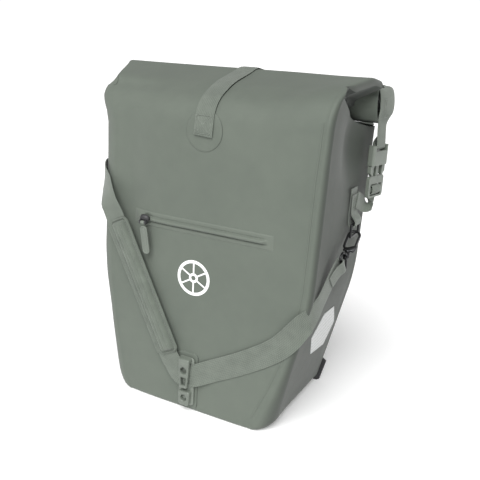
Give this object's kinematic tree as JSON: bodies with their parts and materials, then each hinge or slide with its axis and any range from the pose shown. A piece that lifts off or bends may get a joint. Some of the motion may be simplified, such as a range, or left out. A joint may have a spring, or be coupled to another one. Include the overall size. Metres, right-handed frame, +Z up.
{
  "type": "pannier bag",
  "caption": "Roll-top bicycle pannier of coated fabric with a front zip pocket, side-release buckles, padded shoulder strap and rear rack hooks.",
  "frame": {"origin": "middle of the base, on the ground, half way between the front face and the rear panel", "axes": "+X to the bag's right as seen from the front, +Y to the rear where the rack is, +Z up"},
  "size_m": [0.3634, 0.2201, 0.4484],
  "materials": {
    "tpu_fabric": "matte coated",
    "webbing": "woven",
    "pad_fabric": "padded weave",
    "lining": "woven",
    "zip_tape": "woven",
    "board": "matte",
    "black_plastic": "matte",
    "sage_plastic": "satin moulded",
    "black_metal": "satin",
    "steel": "satin",
    "reflective": "retroreflective film",
    "rubber": "matte"
  },
  "bodies": {
    "bag": {"front_panel": "tpu_fabric", "rear_panel": "tpu_fabric", "gusset_left": "tpu_fabric", "gusset_right": "tpu_fabric", "bottom_panel": "tpu_fabric", "back_board": "board", "bottom_guard": "black_plastic", "zip_welt": "tpu_fabric", "zip_tape": "zip_tape", "pocket_pouch": "lining", "strap_patch": "tpu_fabric", "top_strap_sewn": "webbing", "keeper_patch": "tpu_fabric", "keeper_plate": "sage_plastic", "keeper_rivets": "steel", "reflector_left": "reflective", "reflector_right": "reflective", "side_strap_left": "webbing", "side_strap_right": "webbing", "shoulder_strap": "webbing", "pad_cover": "pad_fabric", "pad_sleeve": "pad_fabric", "strap_eyes": "black_metal", "buckle_male_left": "sage_plastic", "buckle_male_right": "sage_plastic", "buckle_male_rear": "sage_plastic", "rear_anchor_strap": "webbing", "mount_rail": "black_plastic", "upper_hook_left": "black_plastic", "upper_hook_right": "black_plastic", "lower_rail": "black_plastic", "rail_screws": "steel"},
    "roll_top": {"top_cover": "tpu_fabric", "roll": "tpu_fabric", "roll_stiffener": "board", "end_strap_left": "webbing", "end_strap_right": "webbing", "top_strap": "webbing", "buckle_female_left": "sage_plastic", "buckle_female_right": "sage_plastic", "buckle_female_rear": "sage_plastic"},
    "zip_slider": {"zip_slider": "black_metal"},
    "zip_puller": {"zip_puller": "rubber"},
    "keeper_tongue": {"keeper_tongue": "sage_plastic"},
    "ring_left": {"ring_left": "black_metal"},
    "ring_right": {"ring_right": "black_metal"},
    "hook_left": {"hook_left": "black_metal"},
    "hook_right": {"hook_right": "black_metal"},
    "gate_left": {"gate_left": "black_metal"},
    "gate_right": {"gate_right": "black_metal"},
    "prong_left_front": {"prong_left_front": "sage_plastic"},
    "prong_left_rear": {"prong_left_rear": "sage_plastic"},
    "prong_right_front": {"prong_right_front": "sage_plastic"},
    "prong_right_rear": {"prong_right_rear": "sage_plastic"},
    "latch_left": {"latch_left": "black_plastic"},
    "latch_right": {"latch_right": "black_plastic"},
    "pull_bar": {"pull_bar": "black_plastic"},
    "lower_hook": {"lower_hook": "black_plastic"}
  },
  "joints": [
    {"name": "roll_lift", "type": "slide", "parent": "bag", "child": "roll_top", "axis": [0, 0, 1], "range_m": [0, 0.14]},
    {"name": "zip_slide", "type": "slide", "parent": "bag", "child": "zip_slider", "axis": [1, 0, 0], "range_m": [0, 0.16]},
    {"name": "puller_swing", "type": "hinge", "parent": "zip_slider", "child": "zip_puller", "pos_m": [-0.076, -0.0966, 0.2526], "axis": [-1, 0, 0], "range_deg": [0, 150]},
    {"name": "keeper_flex", "type": "hinge", "parent": "bag", "child": "keeper_tongue", "pos_m": [-0.008, -0.0976, 0.0735], "axis": [-1, 0, 0], "range_deg": [0, 12], "stiffness_Nm_per_rad": 0.5},
    {"name": "ring_right_swing", "type": "hinge", "parent": "bag", "child": "ring_right", "pos_m": [0.164, 0.024, 0.2676], "axis": [0, 1, 0], "range_deg": [-8, 1]},
    {"name": "ring_left_swing", "type": "hinge", "parent": "bag", "child": "ring_left", "pos_m": [-0.164, 0.024, 0.2676], "axis": [0, 1, 0], "range_deg": [-1, 8]},
    {"name": "hook_right_swivel", "type": "hinge", "parent": "bag", "child": "hook_right", "pos_m": [0.1668, 0.0151, 0.2525], "axis": [0, -0.788, -0.6157], "range_deg": [-10, 10]},
    {"name": "gate_right_open", "type": "hinge", "parent": "hook_right", "child": "gate_right", "pos_m": [0.1739, 0.00139, 0.24179], "axis": [0, -0.6157, 0.788], "range_deg": [0, 20], "stiffness_Nm_per_rad": 0.02},
    {"name": "hook_left_swivel", "type": "hinge", "parent": "bag", "child": "hook_left", "pos_m": [-0.1668, 0.0086, 0.2606], "axis": [0, -0.8572, 0.515], "range_deg": [-10, 10]},
    {"name": "gate_left_open", "type": "hinge", "parent": "hook_left", "child": "gate_left", "pos_m": [-0.1739, -0.00632, 0.26956], "axis": [0, -0.515, -0.8572], "range_deg": [0, 20], "stiffness_Nm_per_rad": 0.02},
    {"name": "prong_right_front_squeeze", "type": "hinge", "parent": "bag", "child": "prong_right_front", "pos_m": [0.17087, 0.04561, 0.32617], "axis": [-0.9781, 0.2079, 0], "range_deg": [0, 5], "stiffness_Nm_per_rad": 0.3},
    {"name": "prong_right_rear_squeeze", "type": "hinge", "parent": "bag", "child": "prong_right_rear", "pos_m": [0.17613, 0.07039, 0.32617], "axis": [0.9781, -0.2079, 0], "range_deg": [0, 5], "stiffness_Nm_per_rad": 0.3},
    {"name": "prong_left_front_squeeze", "type": "hinge", "parent": "bag", "child": "prong_left_front", "pos_m": [-0.17087, 0.04561, 0.32617], "axis": [-0.9781, -0.2079, 0], "range_deg": [0, 5], "stiffness_Nm_per_rad": 0.3},
    {"name": "prong_left_rear_squeeze", "type": "hinge", "parent": "bag", "child": "prong_left_rear", "pos_m": [-0.17613, 0.07039, 0.32617], "axis": [0.9781, 0.2079, 0], "range_deg": [0, 5], "stiffness_Nm_per_rad": 0.3},
    {"name": "pull_bar_lift", "type": "slide", "parent": "bag", "child": "pull_bar", "axis": [0, 0, 1], "range_m": [0, 0.012], "stiffness_N_per_m": 300, "springref_m": -0.01},
    {"name": "latch_left_open", "type": "hinge", "parent": "bag", "child": "latch_left", "pos_m": [-0.08, 0.0931, 0.254], "axis": [-1, 0, 0], "range_deg": [0, 60]},
    {"name": "latch_right_open", "type": "hinge", "parent": "bag", "child": "latch_right", "pos_m": [0.08, 0.0931, 0.254], "axis": [-1, 0, 0], "range_deg": [0, 60]},
    {"name": "lower_hook_turn", "type": "hinge", "parent": "bag", "child": "lower_hook", "pos_m": [0, 0.089, 0.096], "axis": [0, 1, 0], "range_deg": [-90, 90]}
  ],
  "couplings": [
    {"joint": "prong_right_rear_squeeze", "follows": "prong_right_front_squeeze", "ratio": 1},
    {"joint": "prong_left_rear_squeeze", "follows": "prong_left_front_squeeze", "ratio": 1},
    {"joint": "latch_left_open", "follows": "pull_bar_lift", "rad_per_m": 87.2},
    {"joint": "latch_right_open", "follows": "pull_bar_lift", "rad_per_m": 87.2}
  ]
}
